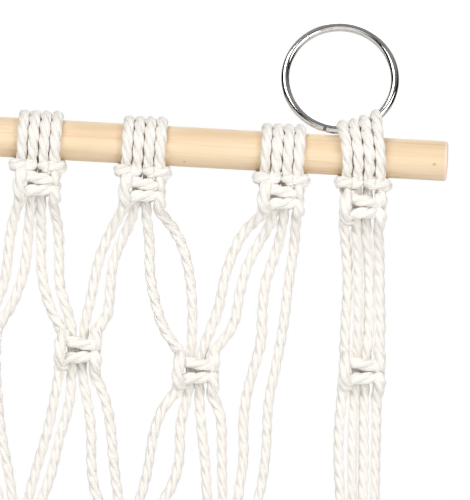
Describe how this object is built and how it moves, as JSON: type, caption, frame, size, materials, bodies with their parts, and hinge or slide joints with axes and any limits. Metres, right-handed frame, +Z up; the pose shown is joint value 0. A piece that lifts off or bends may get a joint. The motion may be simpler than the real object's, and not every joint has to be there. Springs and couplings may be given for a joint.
{
  "type": "hanging macrame planter",
  "caption": "Wooden dowel with hinged metal rings and knotted cotton cords that gather into a cradle and tassel.",
  "frame": {"origin": "middle of the dowel's axis", "axes": "+X along the dowel, +Z up, front faces -Y"},
  "size_m": [0.392, 0.0912, 0.5923],
  "materials": {
    "wood": "sanded, unvarnished",
    "cotton": "twisted natural cotton",
    "steel": "polished nickel"
  },
  "bodies": {
    "hanger": {"dowel": "wood", "gathering_cord": "cotton", "ring_body_right": "steel", "ring_body_left": "steel", "ring_pin_right": "steel", "ring_pin_left": "steel", "strand_g1_a_left": "cotton", "strand_g1_a_right": "cotton", "strand_g1_b_left": "cotton", "strand_g1_b_right": "cotton", "strand_g2_a_left": "cotton", "strand_g2_a_right": "cotton", "strand_g2_b_left": "cotton", "strand_g2_b_right": "cotton", "strand_g2_c_left": "cotton", "strand_g2_c_right": "cotton", "strand_g2_d_left": "cotton", "strand_g2_d_right": "cotton", "strand_g3_a_left": "cotton", "strand_g3_a_right": "cotton", "strand_g3_b_left": "cotton", "strand_g3_b_right": "cotton", "strand_g3_c_left": "cotton", "strand_g3_c_right": "cotton", "strand_g3_d_left": "cotton", "strand_g3_d_right": "cotton", "strand_g4_a_left": "cotton", "strand_g4_a_right": "cotton", "strand_g4_b_left": "cotton", "strand_g4_b_right": "cotton", "strand_g4_c_left": "cotton", "strand_g4_c_right": "cotton", "strand_g4_d_left": "cotton", "strand_g4_d_right": "cotton"},
    "jaw_right": {"ring_jaw_right": "steel"},
    "jaw_left": {"ring_jaw_left": "steel"}
  },
  "joints": [
    {"name": "ring_right_opens", "type": "hinge", "parent": "hanger", "child": "jaw_right", "pos_m": [0.13891, -0.00242, 0.01234], "axis": [0, -0.9478, 0.319], "range_deg": [0, 2.5]},
    {"name": "ring_left_opens", "type": "hinge", "parent": "hanger", "child": "jaw_left", "pos_m": [-0.13891, -0.00242, 0.01234], "axis": [0, 0.9478, -0.319], "range_deg": [0, 2.5]}
  ]
}
